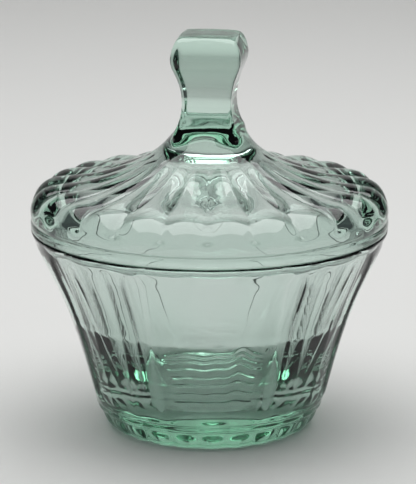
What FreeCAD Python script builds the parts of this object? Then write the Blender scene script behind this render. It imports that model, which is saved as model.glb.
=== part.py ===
import FreeCAD, Part
import math
import os

# A covered candy dish in pressed glass, in two pieces: a flared, panelled bowl on a thick
# base, and a fluted ogee lid that carries a square knob and drops into the bowl's mouth.
# Millimetres, +Z up. The origin is the centre of the flat foot, and the bowl's wide front
# panel faces -Y.

# Bowl
bowl_height = 72.3
rim_radius = 63.5
mouth_radius = 59.4
floor_height = 11.0
panel_units = 24                # the rim and the foot are divided into this many lobes
unit_angle = 360.0 / panel_units
wide_half = 1.5 * unit_angle    # a wide panel spans three units, centred on each quarter turn
recess_radius = 30.0            # hollow under the base, so that only a ring touches the table
recess_depth = 1.4
recess_share = (0.72, 0.6)      # a point on its roof, as shares of radius and depth

# Height, radius at the arrises, share of it by which the middle of a wide panel is set in,
# and how flat each narrow facet is: 1 is a chord, 0 is round, below 0 bulges as a lobe.
bowl_sections = [
    (0.0, 34.8, 0.000, -0.6),
    (1.4, 37.3, 0.000, -1.2),
    (4.4, 39.0, 0.000, -1.2),
    (9.0, 41.4, 0.020, -0.2),
    (14.5, 43.9, 0.042, 0.9),
    (24.0, 46.3, 0.040, 0.9),
    (34.0, 49.0, 0.034, 0.9),
    (44.0, 52.2, 0.026, 0.9),
    (54.0, 56.1, 0.014, 0.9),
    (61.0, 59.1, 0.006, 0.9),
    (66.0, 61.2, 0.000, 0.7),
    (70.0, 62.5, 0.000, 0.2),
    (bowl_height, rim_radius, 0.000, 0.0),
]

# Inner wall, radius and height from the mouth down. Below the last of these points, the kink,
# it tapers in faster than the outside does, so the wall grows thicker towards the base.
upper_wall = [(58.2, 68.0), (55.4, 62.0), (51.0, 54.0), (47.2, 45.5), (45.6, 41.5)]
wall_taper = 27.2               # degrees from upright
corner_round = 9.0              # radius where the taper runs into the floor

# Upright flutes beside each wide panel, with a rounded top, dying out downwards.
flute_angle = 27.7              # from the middle of a wide panel
flute_radius = 7.5
flute_path = [(67.0, 63.7), (61.7, 51.6), (58.3, 41.7), (55.5, 32.0), (53.3, 22.1)]

# Lid
seat_gap = 0.1                  # the lid's edge over the bowl's rim
ring_radius = 57.2              # locating ring that drops inside the mouth
ring_inner = 53.8
ring_drop = 3.6
edge_top = 78.0
shoulder_radius = 54.5
shoulder_top = 88.0
dome_outside = [(48.0, 88.6), (41.0, 90.0), (34.0, 92.0), (27.5, 94.4), (20.7, 97.9),
                (16.6, 101.2), (13.8, 104.6)]
dome_inside = [(11.5, 97.0), (16.5, 94.4), (22.5, 90.9), (30.0, 87.8), (38.0, 85.9),
               (45.0, 84.9), (50.0, 83.4), (52.8, 80.6)]
cavity_top = 97.6
cavity_bottom_turn = 77.0
lobe_count = 24
groove_radius = 3.2
groove_path = [(68.0, 66.0), (66.4, 74.0), (65.0, 80.5), (60.9, 88.2), (54.6, 90.6),
               (48.0, 91.4), (41.0, 92.9), (34.0, 95.1), (27.5, 97.7), (22.5, 101.2)]
lid_turn = -10.0                # the lid lies a little off square to the bowl's panels

# Knob: height and half side of its square section.
knob_sections = [
    (101.0, 13.6), (104.6, 12.4), (108.0, 10.9), (112.0, 9.3), (117.0, 8.6), (122.0, 9.0),
    (126.7, 10.2), (130.6, 11.9), (133.6, 12.4), (137.6, 11.5), (140.6, 10.2), (141.7, 9.2),
]
knob_corner = 0.26              # corner radius as a share of the half side
knob_bulge = 0.35               # how far each face swells past its corners

up = FreeCAD.Vector(0, 0, 1)
origin = FreeCAD.Vector(0, 0, 0)


def polar(radius, degrees, height):
    """Point at an angle measured from the front, -Y, towards +X."""
    turn = math.radians(degrees)
    return FreeCAD.Vector(radius * math.sin(turn), -radius * math.cos(turn), height)


def meridian(points):
    """Points in the upright XZ plane from (radius, height) pairs."""
    return [FreeCAD.Vector(radius, 0, height) for radius, height in points]


def spline(points):
    """Smooth edge through points."""
    curve = Part.BSplineCurve()
    curve.interpolate(points)
    return curve.toShape()


def polyline(points):
    """Straight edges from point to point."""
    return [Part.makeLine(a, b) for a, b in zip(points, points[1:])]


def spin(edges):
    """Solid made by turning a closed outline in the XZ plane about +Z."""
    return Part.Face(Part.Wire(edges)).revolve(origin, up, 360)


def bowl_radius(degrees, radius, set_in, flatness):
    """Radius of the bowl's outside at an angle, between and at the arrises."""
    from_panel = (degrees + 45.0) % 90.0 - 45.0
    in_wide = abs(from_panel) <= wide_half
    units = (degrees + unit_angle / 2) / unit_angle
    at_middle = abs(units % 1.0 - 0.5) < 0.01
    if in_wide:
        radius *= 1 - set_in * (1 - (from_panel / wide_half) ** 2)
    if at_middle and (flatness < 0 or not in_wide):
        radius *= 1 - flatness * (1 - math.cos(math.radians(unit_angle / 2)))
    return radius


def bowl_wire(height, radius, set_in, flatness):
    """One level outline of the bowl, made of an arc over each unit."""
    arcs = []
    for unit in range(panel_units):
        angles = [(unit + step) * unit_angle for step in (-0.5, 0.0, 0.5)]
        ends = [polar(bowl_radius(a, radius, set_in, flatness), a, height) for a in angles]
        arcs.append(Part.Arc(*ends).toShape())
    return Part.Wire(arcs)


def swept_groove(path, radius):
    """Round bar along a path in the XZ plane, with a ball on its first point."""
    points = meridian(path)
    spine = Part.Wire([spline(points)])
    along = points[1] - points[0]
    ring = Part.Wire([Part.makeCircle(radius, points[0], along)])
    bar = spine.makePipeShell([ring], True, False)
    return bar.fuse(Part.makeSphere(radius, points[0]))


def spread(shape, angles):
    """Copies turned about +Z, from the XZ plane's +X side to angles from the front."""
    copies = []
    for angle in angles:
        copy = shape.copy()
        copy.rotate(origin, up, angle - 90.0)
        copies.append(copy)
    return copies


def bowl_cavity():
    """The hollow inside the bowl: eased mouth, flared wall, taper, round corner and flat floor."""
    ease = 0.8
    above = bowl_height + 5.0
    lean = math.radians(wall_taper)
    kink_radius, kink_height = upper_wall[-1]
    sharp_radius = kink_radius - (kink_height - floor_height) * math.tan(lean)
    reach = corner_round * math.tan((math.pi / 2 - lean) / 2)    # from the sharp corner to an end
    floor_radius = sharp_radius - reach
    swing = (math.pi / 2 - lean) / 2
    middle = (floor_radius + corner_round * math.sin(swing),
              floor_height + corner_round * (1 - math.cos(swing)))
    taper_end = (sharp_radius + reach * math.sin(lean), floor_height + reach * math.cos(lean))
    corner = meridian([taper_end, middle, (floor_radius, floor_height)])
    wall = meridian([(mouth_radius, bowl_height - ease)] + upper_wall)
    outline = polyline(meridian([(0, floor_height), (0, above), (mouth_radius + ease, above),
                                 (mouth_radius + ease, bowl_height)]) + wall[:1])
    outline += [spline(wall), Part.makeLine(wall[-1], corner[0]), Part.Arc(*corner).toShape(),
                Part.makeLine(corner[-1], FreeCAD.Vector(0, 0, floor_height))]
    return spin(outline)


def base_recess():
    """Shallow lens-shaped hollow under the base."""
    edge = FreeCAD.Vector(recess_radius, 0, 0)
    halfway = FreeCAD.Vector(recess_radius * recess_share[0], 0, recess_depth * recess_share[1])
    middle = FreeCAD.Vector(0, 0, recess_depth)
    below = meridian([(0, recess_depth), (0, -1.0), (recess_radius, -1.0), (recess_radius, 0)])
    return spin(polyline(below) + [Part.Arc(edge, halfway, middle).toShape()])


def make_bowl():
    """Panelled outside lofted through level outlines, then hollowed."""
    body = Part.makeLoft([bowl_wire(*row) for row in bowl_sections], True, False)
    flute = swept_groove(flute_path, flute_radius)
    places = []
    for quarter in range(4):
        places += [quarter * 90.0 - flute_angle, quarter * 90.0 + flute_angle]
    body = body.cut(spread(flute, places))
    return body.cut([bowl_cavity(), base_recess()])


def lid_shell():
    """Plain turned lid: straight edge, rounded shoulder, ogee dome and locating ring."""
    seat = bowl_height + seat_gap
    ring_bottom = bowl_height - ring_drop
    turn = math.radians(45)
    fall = shoulder_top - edge_top
    width = rim_radius - shoulder_radius
    shoulder = FreeCAD.Vector(shoulder_radius + width * math.cos(turn), 0,
                              edge_top + fall * math.sin(turn))
    corner = FreeCAD.Vector(rim_radius, 0, edge_top)
    crest = FreeCAD.Vector(shoulder_radius, 0, shoulder_top)
    outer = [crest] + meridian(dome_outside)
    inner = meridian([(0, cavity_top)] + dome_inside + [(ring_inner, cavity_bottom_turn)])
    outline = [Part.makeLine(FreeCAD.Vector(rim_radius, 0, seat), corner),
               Part.Arc(corner, shoulder, crest).toShape(),
               spline(outer)]
    top = FreeCAD.Vector(0, 0, outer[-1].z)
    outline += polyline([outer[-1], top, inner[0]])
    outline.append(spline(inner))
    outline += polyline([inner[-1]] + meridian([(ring_inner, ring_bottom),
                                                (ring_radius, ring_bottom),
                                                (ring_radius, seat), (rim_radius, seat)]))
    return spin(outline)


def knob_wire(height, half):
    """One level outline of the knob: a square with swollen sides and round corners."""
    corner = half * knob_corner
    straight = half - corner
    diagonal = straight + corner * math.sqrt(0.5)
    edges = []
    for quarter in range(4):
        points = [(-straight, -half), (0, -half - knob_bulge), (straight, -half),
                  (diagonal, -diagonal), (half, -straight)]
        placed = []
        for x, y in points:
            point = FreeCAD.Vector(x, y, height)
            placed.append(FreeCAD.Rotation(up, 90.0 * quarter).multVec(point))
        edges.append(Part.Arc(*placed[:3]).toShape())
        edges.append(Part.Arc(*placed[2:]).toShape())
    return Part.Wire(edges)


def make_lid():
    """Turned shell with a groove between lobes, and the knob grown from its crown."""
    groove = swept_groove(groove_path, groove_radius)
    places = [(lobe + 0.5) * 360.0 / lobe_count for lobe in range(lobe_count)]
    shell = lid_shell().cut(spread(groove, places))
    knob = Part.makeLoft([knob_wire(*row) for row in knob_sections], True, False)
    lid = shell.fuse(knob).removeSplitter()
    lid.rotate(origin, up, lid_turn)
    return lid


os.makedirs("parts", exist_ok=True)
for node, shape in (("bowl", make_bowl()), ("lid", make_lid())):
    solid = shape.Solids[0]
    box = solid.BoundBox
    print(node, "valid" if solid.isValid() else "NOT VALID", len(shape.Solids), "solid",
          round(box.XLength, 1), round(box.YLength, 1), round(box.ZMin, 2), round(box.ZMax, 2),
          round(solid.Volume / 1000), "cm3")
    solid.exportStep(os.path.join("parts", node + ".step"))
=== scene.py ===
import bmesh
import bpy
import math
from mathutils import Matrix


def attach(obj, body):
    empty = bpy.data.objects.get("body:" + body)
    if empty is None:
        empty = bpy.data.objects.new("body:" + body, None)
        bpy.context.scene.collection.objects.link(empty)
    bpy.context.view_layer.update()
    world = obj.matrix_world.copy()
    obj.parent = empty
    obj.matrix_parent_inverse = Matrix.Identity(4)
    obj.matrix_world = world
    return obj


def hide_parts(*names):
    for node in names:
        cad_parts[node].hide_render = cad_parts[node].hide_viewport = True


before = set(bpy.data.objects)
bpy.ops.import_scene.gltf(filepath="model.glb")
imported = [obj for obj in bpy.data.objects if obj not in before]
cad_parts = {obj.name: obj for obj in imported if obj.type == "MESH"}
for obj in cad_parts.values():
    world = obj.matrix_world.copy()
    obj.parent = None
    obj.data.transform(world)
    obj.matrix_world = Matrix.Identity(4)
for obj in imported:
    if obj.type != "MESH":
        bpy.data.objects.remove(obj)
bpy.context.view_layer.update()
mm = 0.001
quarter = 90.0           # degrees, the bowl and the knob repeat four times round
print("frame loaded")


def deselectAll():
    if bpy.context.object and bpy.context.object.mode == "EDIT":
        bpy.ops.object.mode_set(mode="OBJECT")
    bpy.ops.object.select_all(action="DESELECT")


def angleOf(point, turn):
    # degrees from the front, -Y, towards +X, on a piece that lies turned about Z
    return (math.degrees(math.atan2(point.x, -point.y)) - turn) % 360.0


def fromMiddle(angle, fold):
    # how far an angle lies from the middle of its repeat, with its sign
    return (angle + fold / 2) % fold - fold / 2


def hump(value, middle, width):
    return math.exp(-((value - middle) / width) ** 2)


def startRing(name, radius, height, segments, turn):
    deselectAll()
    bpy.ops.mesh.primitive_circle_add(vertices=segments, radius=radius * mm, fill_type="NOTHING",
                                      location=(0, 0, height * mm),
                                      rotation=(0, 0, math.radians(turn)))
    piece = bpy.context.object
    piece.name = name
    piece.data.name = name
    piece["segments"] = segments
    bpy.ops.object.transform_apply(location=True, rotation=True, scale=True)
    bpy.ops.object.mode_set(mode="EDIT")
    bpy.ops.mesh.select_mode(type="VERT")
    bpy.ops.mesh.select_all(action="SELECT")
    return piece


def pickVerts(piece, indices):
    mesh = bmesh.from_edit_mesh(piece.data)
    mesh.verts.ensure_lookup_table()
    for vert in mesh.verts:
        vert.select = False
    for index in indices:
        mesh.verts[index].select = True
    mesh.select_flush_mode()
    bmesh.update_edit_mesh(piece.data)


def growRings(piece, rows):
    # extrude the picked ring in place, then scale it about a point well under the table,
    # so that one move sets both its radius and its height
    under = -100 * mm
    for radius, height in rows:
        bpy.ops.mesh.extrude_region_move()
        mesh = bmesh.from_edit_mesh(piece.data)
        first = next(vert for vert in mesh.verts if vert.select)
        wide = radius * mm / first.co.xy.length
        high = (height * mm - under) / (first.co.z - under)
        bpy.ops.transform.resize(value=(wide, wide, high), center_override=(0, 0, under))


def shapeRings(piece, start, targets, turn):
    # move the points of one ring after another to where the ring's target wants them
    mesh = bmesh.from_edit_mesh(piece.data)
    mesh.verts.ensure_lookup_table()
    count = piece["segments"]
    for ring, target in enumerate(targets):
        for index in range((start + ring) * count, (start + ring + 1) * count):
            vert = mesh.verts[index]
            angle = angleOf(vert.co, turn)
            radius, height = target(angle)
            vert.co.x = radius * mm * math.sin(math.radians(angle + turn))
            vert.co.y = -radius * mm * math.cos(math.radians(angle + turn))
            vert.co.z = height * mm
    bmesh.update_edit_mesh(piece.data)


def pickEdges(piece, test):
    mesh = bmesh.from_edit_mesh(piece.data)
    for vert in mesh.verts:
        vert.select = False
    count = 0
    for edge in mesh.edges:
        edge.select = test(edge.verts[0].co / mm, edge.verts[1].co / mm)
        count += edge.select
    bmesh.update_edit_mesh(piece.data)
    return count


def creaseEdges(piece, test, sharpness):
    bpy.ops.mesh.select_mode(type="EDGE")
    bpy.ops.mesh.select_all(action="DESELECT")
    count = pickEdges(piece, test)
    bpy.ops.transform.edge_crease(value=sharpness)
    bpy.ops.mesh.select_mode(type="VERT")
    print("  creased", count, "edges")


def closePoles(piece, firstRing):
    # the last ring is still picked: both ends are drawn in to a point on the axis
    bpy.ops.mesh.merge(type="CENTER")
    pickVerts(piece, firstRing)
    bpy.ops.mesh.merge(type="CENTER")
    bpy.ops.mesh.select_all(action="SELECT")
    bpy.ops.mesh.normals_make_consistent(inside=False)


def smoothPiece(piece):
    bpy.ops.object.mode_set(mode="OBJECT")
    rounding = piece.modifiers.new("rounding", "SUBSURF")
    rounding.levels = 1
    rounding.render_levels = 1
    bpy.ops.object.modifier_apply(modifier=rounding.name)
    bpy.ops.object.shade_smooth()


bowl = {
    "segments": 240,
    "units": 24,             # lobes round the rim and the foot
    "panelEdge": 22.5,       # degrees from the middle of a wide panel to its arris
    "chordDepth": 0.0086,    # share of the radius that a facet lies inside a full round
    "arrisCrease": 0.85,
    "arrisFrom": 13.0,       # mm, the arrises are crisp between these heights
    "arrisTo": 69.0,
    "footLobe": 0.9,         # mm, how deep the foot is nicked between lobes
    "fluteMiddle": 27.7,     # degrees from the middle of a wide panel
    "fluteColumns": 27.75,   # degrees, middle of the six columns of points a flute is made of
    "fluteReach": 3.75,      # degrees from there to the outermost two columns
    "fluteSteps": ((1.0, 0.0), (0.84, 0.9), (0.3, 1.0)),     # share of width and of depth
    "fluteSlim": 1.7,        # degrees, half the width at its lower end
    "fluteSpread": 2.5,      # degrees added to that at the top
    "fluteDepth": 0.45,      # mm
    "fluteEnd": 14.0,        # mm, where it has died out
    "fluteFade": 8.0,        # mm over which it dies out
    "fluteArch": 63.0,       # mm, where its round top begins
    "fluteTop": 69.0,
    "kink": (45.6, 41.5),    # inside radius and height where the taper starts
    "taperFoot": (32.3, 15.6),
    "taperSteps": 34,
    "chillHeights": (38.2, 36.2, 33.2, 29.4, 26.0, 22.2, 18.6),
    "chillLift": 0.085,      # mm, how far a chill ripple stands out of the taper
    "chillGrowth": 0.3,      # each ripple stands out this much more than the one above
    "chillWidth": 0.42,
    "chillHump": 3.6,        # mm, how high the ripples swing in their one large wave
    "chillReach": 19.0,      # degrees, past which the ripples fade beside a wide panel
    "chillFade": 3.0,
    "raggedEdge": 0.12,      # mm, how far the uneven start of the taper may stand back
    "chillHumpAt": (12.0, -9.0, 4.0, -13.0),     # degrees, on each wide panel in turn
}
unitAngle = 360 / bowl["units"]

# radius at the arrises, height, share set in at the middle of a wide panel, facet, lobe
outside = [
    (15.0, 1.25, 0, 0, 0), (26.0, 0.7, 0, 0, 0), (30.0, 0.1, 0, 0, 0),
    (31.5, 0.0, 0, 0, 0.2), (34.2, 0.0, 0, 0, 0.7), (36.2, 0.8, 0, 0, 1.0),
    (37.8, 2.5, 0, 0, 1.1), (38.9, 4.8, 0, 0, 1.0), (39.4, 6.6, 0, 0, 0.7),
    (39.7, 7.3, 0, 0, 0.35), (40.5, 7.7, 0, 0, 0.3), (40.8, 8.4, 0.003, 0, 0.25),
    (40.9, 9.6, 0.006, 0, 0.2), (41.1, 10.0, 0.008, 0, 0.15), (41.7, 10.4, 0.012, 0, 0.1),
    (42.1, 11.6, 0.018, 0.2, 0), (42.9, 13.2, 0.03, 0.6, 0), (43.9, 14.8, 0.04, 1, 0),
    (44.7, 18.0, 0.042, 1, 0), (46.3, 24.0, 0.040, 1, 0), (49.0, 34.0, 0.034, 1, 0),
    (52.2, 44.0, 0.026, 1, 0), (56.1, 54.0, 0.014, 1, 0), (59.3, 61.0, 0.006, 1, 0),
    (60.3, 63.6, 0.003, 1, 0), (61.2, 65.8, 0, 0.9, 0), (61.6, 67.0, 0, 0.8, 0),
    (61.85, 67.8, 0, 0.7, 0), (62.05, 68.4, 0, 0.6, 0.1), (62.25, 69.0, 0, 0.5, 0.2),
    (62.6, 69.8, 0, 0.3, 0.35), (63.1, 70.8, 0, 0, 0.4), (63.45, 71.6, 0, 0, 0),
    (63.2, 72.2, 0, 0, 0), (62.7, 72.3, 0, 0, 0),
]
# radius and height down the inside, above and below the taper
mouth = [
    (61.8, 72.3), (60.2, 72.3), (59.6, 71.9), (59.2, 70.8), (58.0, 67.6), (55.3, 62.0),
    (51.0, 54.0), (47.2, 45.5), (46.3, 43.4), (45.9, 42.3),
]
floor = [(31.4, 14.1), (30.0, 13.0), (27.7, 11.7), (24.5, 11.1), (20.0, 11.0), (12.0, 11.0),
         (5.0, 11.0)]


def bowlTarget(row):
    radius, height, setIn, facet, lobe = row

    def place(angle):
        fromPanel = abs(fromMiddle(angle, quarter))
        fromUnit = abs(fromMiddle(angle, unitAngle)) / (unitAngle / 2)
        reach = radius
        if fromPanel < bowl["panelEdge"]:
            reach *= 1 - setIn * (1 - (fromPanel / bowl["panelEdge"]) ** 2)
        else:
            reach *= 1 - facet * bowl["chordDepth"] * (1 - fromUnit ** 2)
        return reach - lobe * bowl["footLobe"] * fromUnit ** 2, height
    return place


def taperRows():
    (top, topHeight), (foot, footHeight) = bowl["kink"], bowl["taperFoot"]
    steps = bowl["taperSteps"]
    return [(top + (foot - top) * step / steps, topHeight + (footHeight - topHeight) * step / steps)
            for step in range(steps + 1)]


def fluteHalf(height):
    # half the flute's width in degrees: slimmer towards the foot, closing to an arch on top
    arch = max(0.0, (height - bowl["fluteArch"]) / (bowl["fluteTop"] - bowl["fluteArch"]))
    rise = max(0.0, height - bowl["fluteEnd"]) / 53.0
    wide = bowl["fluteSlim"] + bowl["fluteSpread"] * rise ** 1.2
    return wide * math.sqrt(max(0.0, 1 - arch ** 2))


def pressFlutes(piece):
    # beside each wide panel six columns of points are drawn into a shallow flute whose sides
    # are steep, and which fades out towards the foot
    count = piece["segments"]
    mesh = bmesh.from_edit_mesh(piece.data)
    mesh.verts.ensure_lookup_table()
    for vert in mesh.verts[count:count * (len(outside) + 1)]:
        height = vert.co.z / mm
        angle = angleOf(vert.co, 0)
        fromPanel = fromMiddle(angle, quarter)
        across = (abs(fromPanel) - bowl["fluteColumns"]) / bowl["fluteReach"]
        half = fluteHalf(height)
        if abs(across) > 1.01 or height < bowl["fluteEnd"] or half < 0.05:
            continue
        fade = min(1.0, (height - bowl["fluteEnd"]) / bowl["fluteFade"])
        place, share = bowl["fluteSteps"][round((1 - abs(across)) / 0.4)]
        aside = bowl["fluteMiddle"] + math.copysign(place, across) * half
        moved = math.copysign(1.0, fromPanel) * (aside - abs(fromPanel)) * fade
        turned = math.radians(angle + moved)
        radius = vert.co.xy.length - bowl["fluteDepth"] * fade * share * mm
        vert.co.x = radius * math.sin(turned)
        vert.co.y = -radius * math.cos(turned)
    bmesh.update_edit_mesh(piece.data)


def outsideAt(height):
    # radius at the arrises at a height, between the rows of the outside
    rows = outside[3:]
    for low, high in zip(rows, rows[1:]):
        if low[1] <= height <= high[1]:
            return low[0] + (high[0] - low[0]) * (height - low[1]) / (high[1] - low[1] + 1e-6)
    return rows[-1][0]


def chillWave(angle):
    # one large wave on each wide panel, and a few small ones all round
    panel = int(((angle + quarter / 2) % 360.0) // quarter)
    local = fromMiddle(angle, quarter)
    middle = bowl["chillHumpAt"][panel]
    small = 0.16 * math.sin(math.radians(angle * 24.0 + 40.0)) * hump(local, 0, 30.0)
    return hump(local, middle, 4.2) + small + 0.12 * hump(local, -0.6 * middle, 3.0)


def chillInside(piece):
    # cold ripples that the plunger left on the inner taper, and the ragged line of its start
    (top, topHeight), (foot, footHeight) = bowl["kink"], bowl["taperFoot"]
    lean = (top - foot) / (topHeight - footHeight)
    for vert in piece.data.vertices:
        height = vert.co.z / mm
        radius = vert.co.xy.length / mm
        onTaper = foot + (height - footHeight) * lean
        if not footHeight - 1.0 < height < topHeight + 3.5 or abs(radius - onTaper) > 1.6:
            continue
        angle = angleOf(vert.co, 0)
        wave = chillWave(angle)
        share = max(0.0, min(1.0, (height - footHeight) / (topHeight - footHeight)))
        ragged = 0.16 * math.sin(math.radians(angle * 12 + 70))
        ragged += 0.1 * math.sin(math.radians(angle * 31))
        reach = min(radius, onTaper - ragged * share ** 2 + bowl["raggedEdge"])
        lift = 0
        for line, level in enumerate(bowl["chillHeights"]):
            swing = bowl["chillHump"] * (1 - line / len(bowl["chillHeights"])) ** 0.8
            crest = level + swing * (wave - 0.2)
            lift += (1 + bowl["chillGrowth"] * line) * hump(height, crest, bowl["chillWidth"])
        beside = max(0.0, abs(fromMiddle(angle, quarter)) - bowl["chillReach"])
        reach -= bowl["chillLift"] * lift * hump(beside, 0, bowl["chillFade"])
        vert.co.x *= reach / radius
        vert.co.y *= reach / radius


def makeBowl():
    piece = startRing("bowl_glass", 5.0, 1.4, bowl["segments"], 0)
    first = [vert.index for vert in bmesh.from_edit_mesh(piece.data).verts]
    growRings(piece, [row[:2] for row in outside] + mouth + taperRows() + floor)
    shapeRings(piece, 1, [bowlTarget(row) for row in outside], 0)
    pressFlutes(piece)
    closePoles(piece, first)

    def arris(a, b):
        low, high = sorted((a.z, b.z))
        upright = bowl["arrisFrom"] < low and high < bowl["arrisTo"] and high - low > 1.0
        if not upright or a.xy.length < 0.94 * outsideAt(a.z):
            return False
        angle = angleOf((a + b) / 2, 0)
        unit = abs(fromMiddle(angle, unitAngle))
        away = abs(fromMiddle(angle, quarter))
        besidePanel = 22.8 < away < 32.5
        fluteEdge = abs(abs(away - bowl["fluteMiddle"]) - fluteHalf((a.z + b.z) / 2)) < 0.25
        return (unit > 7.3 and away > 20.0) or (besidePanel and fluteEdge)
    creaseEdges(piece, arris, bowl["arrisCrease"])
    smoothPiece(piece)
    chillInside(piece)
    return piece


lid = {
    "segments": 192,
    "turn": -10.0,           # degrees, it lies a little off square to the bowl
    "lobes": 24,
    "lobeDepth": 1.6,        # mm, the valley between two lobes
    "valleyCrease": 0.8,
    "swell": 1.1,            # the knob's round stretches, as a share of its half side
    "corner": 0.15,          # the knob's corner radius as a share of its half side
}
lobeAngle = 360 / lid["lobes"]

# radius, height, depth of the valley between lobes, and which way it is sunk (out, up)
lidEdge = [
    (63.3, 72.45, 0, 1, 0), (63.5, 73.0, 0, 1, 0), (63.5, 75.0, 0, 1, 0), (63.2, 75.6, 0, 1, 0),
    (63.0, 76.0, 0, 1, 0), (63.3, 76.5, 0, 1, 0), (63.5, 77.2, 0, 1, 0), (63.5, 79.4, 0, 1, 0),
    (63.35, 80.7, 0.35, 1, 0.1), (62.9, 82.0, 0.8, 0.9, 0.4), (61.8, 84.2, 1.0, 0.75, 0.6),
    (59.8, 86.2, 1.0, 0.55, 0.8), (57.4, 87.5, 1.0, 0.3, 1), (54.2, 88.1, 0.95, 0.1, 1),
    (50.0, 88.55, 0.75, 0, 1), (45.0, 89.1, 0.58, 0, 1), (39.0, 90.4, 0.46, 0, 1),
    (33.0, 92.3, 0.36, 0, 1), (27.5, 94.4, 0.25, 0, 1), (22.6, 96.9, 0.1, 0, 1),
    (18.4, 99.8, 0, 0, 1), (15.2, 103.0, 0, 0, 1),
]
# height, half side of the knob's square, how square it is
knobRows = [
    (105.6, 12.6, 0.6), (107.6, 11.3, 1), (109.0, 10.5, 1), (112.0, 9.3, 1), (117.0, 8.5, 1),
    (122.0, 8.9, 1), (126.7, 10.2, 1), (130.4, 12.0, 1), (133.6, 12.7, 1), (137.4, 11.8, 1),
    (139.8, 10.8, 1), (140.8, 10.2, 0.8), (141.3, 9.3, 0.6), (141.5, 7.6, 0.4), (141.58, 4.0, 0.2),
]
lidInside = [
    (62.4, 72.4), (59.8, 72.4), (57.4, 72.3), (57.2, 71.6), (57.1, 69.2), (56.6, 68.7),
    (54.5, 68.7), (53.9, 69.4), (53.8, 73.0), (53.6, 78.0), (52.4, 81.2), (49.0, 83.9),
    (43.0, 85.0), (36.0, 86.2), (29.0, 88.2), (22.5, 90.9), (17.0, 94.2), (12.0, 97.0),
    (7.0, 97.6),
]


def lobeTarget(row):
    radius, height, depth, out, lift = row

    def place(angle):
        sunk = depth * lid["lobeDepth"] * (fromMiddle(angle, lobeAngle) / (lobeAngle / 2)) ** 2
        return radius - sunk * out, height - sunk * lift
    return place


def knobTarget(row):
    height, half, square = row

    def place(angle):
        turn = math.radians(abs(fromMiddle(angle, quarter)))
        flat = half / math.cos(turn)
        corner = lid["corner"] * half
        centre = half - corner
        onDiagonal = centre * (math.cos(turn) + math.sin(turn))
        inner = onDiagonal ** 2 - (2 * centre ** 2 - corner ** 2)
        arc = onDiagonal + math.sqrt(max(inner, 0))
        squared = flat if flat * math.sin(turn) < centre else arc
        rounded = half * lid["swell"]
        return rounded + square * (squared - rounded), height
    return place


def makeLid():
    piece = startRing("lid_glass", 3.0, 97.6, lid["segments"], lid["turn"])
    first = [vert.index for vert in bmesh.from_edit_mesh(piece.data).verts]
    growRings(piece, lidInside[::-1] + [row[:2] for row in lidEdge]
              + [(row[1], row[0]) for row in knobRows])
    shapeRings(piece, len(lidInside) + 1, [lobeTarget(row) for row in lidEdge]
               + [knobTarget(row) for row in knobRows], lid["turn"])
    closePoles(piece, first)

    def valley(a, b):
        outer = min(a.xy.length, b.xy.length) > 18 and (a.xy.length > 59 or a.z > 87.3)
        along = abs(a.z - b.z) + abs(a.xy.length - b.xy.length) > 0.5
        return outer and min(a.z, b.z) > 80 and along and all(
            abs(fromMiddle(angleOf(p, lid["turn"]), lobeAngle)) > 7.4 for p in (a, b))
    creaseEdges(piece, valley, lid["valleyCrease"])
    smoothPiece(piece)
    return piece


glass = {
    "tint": (0.88, 0.90, 0.895, 1),
    "streakTint": (0.84, 0.88, 0.87, 1),
    "depthColour": (0.45, 0.93, 0.70, 1),
    "density": 18.5,
    "ior": 1.52,
    "streakSize": 90.0,      # per metre, across
    "streakDraw": 0.3,       # how much longer the streaks are upwards
    "rippleHeight": 0.00012,     # metres
    "haze": 0.02,            # roughness where the surface is dullest
    "hazeRange": (0.5, 0.75),    # share of the noise over which the haze comes in
}


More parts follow.
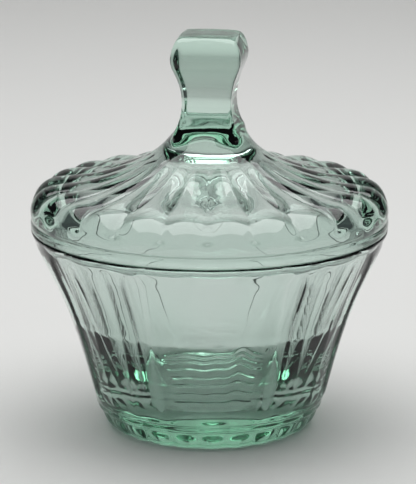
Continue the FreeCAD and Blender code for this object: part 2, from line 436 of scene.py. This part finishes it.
def sharedSurface():
    # pressed glass as it leaves the mould: faint upright streaks, slow ripples, a little haze
    group = bpy.data.node_groups.new("pressed_glass_surface", "ShaderNodeTree")
    face = group.interface
    for name in ("Tint", "Streak Tint"):
        face.new_socket(name=name, in_out="INPUT", socket_type="NodeSocketColor")
    for name in ("Streak Size", "Streak Draw", "Ripple Height", "Haze"):
        face.new_socket(name=name, in_out="INPUT", socket_type="NodeSocketFloat")
    face.new_socket(name="Color", in_out="OUTPUT", socket_type="NodeSocketColor")
    face.new_socket(name="Roughness", in_out="OUTPUT", socket_type="NodeSocketFloat")
    face.new_socket(name="Normal", in_out="OUTPUT", socket_type="NodeSocketVector")
    nodes = group.nodes
    links = group.links
    given = nodes.new("NodeGroupInput")
    result = nodes.new("NodeGroupOutput")
    place = nodes.new("ShaderNodeTexCoord")
    draw = nodes.new("ShaderNodeCombineXYZ")
    draw.inputs["X"].default_value = 1.0
    draw.inputs["Y"].default_value = 1.0
    links.new(given.outputs["Streak Draw"], draw.inputs["Z"])
    drawn = nodes.new("ShaderNodeVectorMath")
    drawn.operation = "MULTIPLY"
    links.new(place.outputs["Object"], drawn.inputs[0])
    links.new(draw.outputs["Vector"], drawn.inputs[1])
    streaks = nodes.new("ShaderNodeTexNoise")
    streaks.inputs["Detail"].default_value = 2.0
    links.new(drawn.outputs["Vector"], streaks.inputs["Vector"])
    links.new(given.outputs["Streak Size"], streaks.inputs["Scale"])
    mix = nodes.new("ShaderNodeMix")
    mix.data_type = "RGBA"
    links.new(streaks.outputs["Fac"], mix.inputs["Factor"])
    links.new(given.outputs["Tint"], mix.inputs["A"])
    links.new(given.outputs["Streak Tint"], mix.inputs["B"])
    links.new(mix.outputs["Result"], result.inputs["Color"])
    bump = nodes.new("ShaderNodeBump")
    bump.inputs["Strength"].default_value = 1.0
    links.new(given.outputs["Ripple Height"], bump.inputs["Distance"])
    links.new(streaks.outputs["Fac"], bump.inputs["Height"])
    links.new(bump.outputs["Normal"], result.inputs["Normal"])
    breath = nodes.new("ShaderNodeTexNoise")
    breath.inputs["Scale"].default_value = 40.0
    breath.inputs["Detail"].default_value = 3.0
    links.new(place.outputs["Object"], breath.inputs["Vector"])
    spread = nodes.new("ShaderNodeMapRange")
    hazeStart, hazeFull = glass["hazeRange"]
    spread.inputs["From Min"].default_value = hazeStart
    spread.inputs["From Max"].default_value = hazeFull
    spread.inputs["To Min"].default_value = 0.0
    links.new(breath.outputs["Fac"], spread.inputs["Value"])
    links.new(given.outputs["Haze"], spread.inputs["To Max"])
    links.new(spread.outputs["Result"], result.inputs["Roughness"])
    return group


def glassMaterial(name, group):
    material = bpy.data.materials.new(name)
    material.use_nodes = True
    nodes = material.node_tree.nodes
    links = material.node_tree.links
    shader = nodes["Principled BSDF"]
    shader.inputs["Transmission Weight"].default_value = 1.0
    shader.inputs["IOR"].default_value = glass["ior"]
    surface = nodes.new("ShaderNodeGroup")
    surface.node_tree = group
    surface.inputs["Tint"].default_value = glass["tint"]
    surface.inputs["Streak Tint"].default_value = glass["streakTint"]
    surface.inputs["Streak Size"].default_value = glass["streakSize"]
    surface.inputs["Streak Draw"].default_value = glass["streakDraw"]
    surface.inputs["Ripple Height"].default_value = glass["rippleHeight"]
    surface.inputs["Haze"].default_value = glass["haze"]
    links.new(surface.outputs["Color"], shader.inputs["Base Color"])
    links.new(surface.outputs["Roughness"], shader.inputs["Roughness"])
    links.new(surface.outputs["Normal"], shader.inputs["Normal"])
    absorb = nodes.new("ShaderNodeVolumeAbsorption")
    absorb.inputs["Color"].default_value = glass["depthColour"]
    absorb.inputs["Density"].default_value = glass["density"]
    links.new(absorb.outputs["Volume"], nodes["Material Output"].inputs["Volume"])
    return material


room = {
    "pitch": 14.4,
    "orbit": -1.8,
    "distance": 1016.0,
    "aim": (-0.53, 0.0, 66.05),
    "focal": 212.3,
    "sweep": (1.8, 2.0),     # metres
    "backEdge": 900,         # mm, the edge beyond this grows into the curve and the wall
    "curveSteps": 8,
    "curve": 0.03,           # one step of the curve behind the floor
    "wall": 0.7,
    "paper": (0.735, 0.735, 0.72, 1),
    "softboxAt": (0.0, 0.15, 0.9),
    "softboxSize": (1.2, 1.2),
    "softboxPower": 11.9,
    "fill": 0.07,
}


def makeCamera():
    pitch = math.radians(room["pitch"])
    orbit = math.radians(room["orbit"])
    aside, ahead, up = room["aim"]
    level = room["distance"] * math.cos(pitch)
    place = (aside * math.cos(orbit) + level * math.sin(orbit),
             ahead + aside * math.sin(orbit) - level * math.cos(orbit),
             up + room["distance"] * math.sin(pitch))
    deselectAll()
    bpy.ops.object.camera_add(location=[value * mm for value in place],
                              rotation=(math.pi / 2 - pitch, 0, orbit))
    camera = bpy.context.object
    camera.data.lens = room["focal"]
    camera.data.sensor_width = 36
    bpy.context.scene.camera = camera


def paperMaterial():
    material = bpy.data.materials.new("studio_paper")
    material.use_nodes = True
    nodes = material.node_tree.nodes
    links = material.node_tree.links
    shader = nodes["Principled BSDF"]
    shader.inputs["Base Color"].default_value = room["paper"]
    shader.inputs["Roughness"].default_value = 0.75
    place = nodes.new("ShaderNodeTexCoord")
    grain = nodes.new("ShaderNodeTexNoise")
    grain.inputs["Scale"].default_value = 900.0
    bump = nodes.new("ShaderNodeBump")
    bump.inputs["Distance"].default_value = 0.00004
    links.new(place.outputs["Object"], grain.inputs["Vector"])
    links.new(grain.outputs["Fac"], bump.inputs["Height"])
    links.new(bump.outputs["Normal"], shader.inputs["Normal"])
    return material


def makeSweep():
    # floor, curve and wall of one seamless sheet
    deselectAll()
    bpy.ops.mesh.primitive_plane_add(size=1, location=(0, 0, 0))
    sheet = bpy.context.object
    sheet.name = "studio_sweep"
    bpy.ops.transform.resize(value=(*room["sweep"], 1))
    bpy.ops.object.transform_apply(scale=True)
    bpy.ops.object.mode_set(mode="EDIT")
    bpy.ops.mesh.select_mode(type="EDGE")
    bpy.ops.mesh.select_all(action="DESELECT")
    pickEdges(sheet, lambda a, b: min(a.y, b.y) > room["backEdge"])
    for step in range(room["curveSteps"]):
        turn = math.radians((step + 0.5) * 90 / room["curveSteps"])
        bpy.ops.mesh.extrude_region_move(TRANSFORM_OT_translate={
            "value": (0, room["curve"] * math.cos(turn), room["curve"] * math.sin(turn))})
    bpy.ops.mesh.extrude_region_move(TRANSFORM_OT_translate={"value": (0, 0, room["wall"])})
    bpy.ops.object.mode_set(mode="OBJECT")
    bpy.ops.object.shade_smooth()
    sheet.data.materials.append(paperMaterial())


def makeLights():
    deselectAll()
    bpy.ops.object.light_add(type="AREA", location=room["softboxAt"])
    light = bpy.context.object
    light.name = "top_softbox"
    light.data.shape = "RECTANGLE"
    light.data.size, light.data.size_y = room["softboxSize"]
    light.data.energy = room["softboxPower"]
    world = bpy.data.worlds.new("studio")
    bpy.context.scene.world = world
    world.use_nodes = True
    world.node_tree.nodes["Background"].inputs["Color"].default_value = (0.9, 0.95, 1.0, 1)
    world.node_tree.nodes["Background"].inputs["Strength"].default_value = room["fill"]
    bpy.context.scene.view_settings.view_transform = "Standard"


makeCamera()
print("camera placed")

surfaceGroup = sharedSurface()
bowlPiece = makeBowl()
bowlPiece.data.materials.append(glassMaterial("bowl_green_glass", surfaceGroup))
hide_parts("bowl")
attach(bowlPiece, "bowl")
print("bowl made", len(bowlPiece.data.polygons))

lidPiece = makeLid()
lidPiece.data.materials.append(glassMaterial("lid_green_glass", surfaceGroup))
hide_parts("lid")
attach(lidPiece, "lid")
print("lid made", len(lidPiece.data.polygons))

makeSweep()
makeLights()
print("room made")
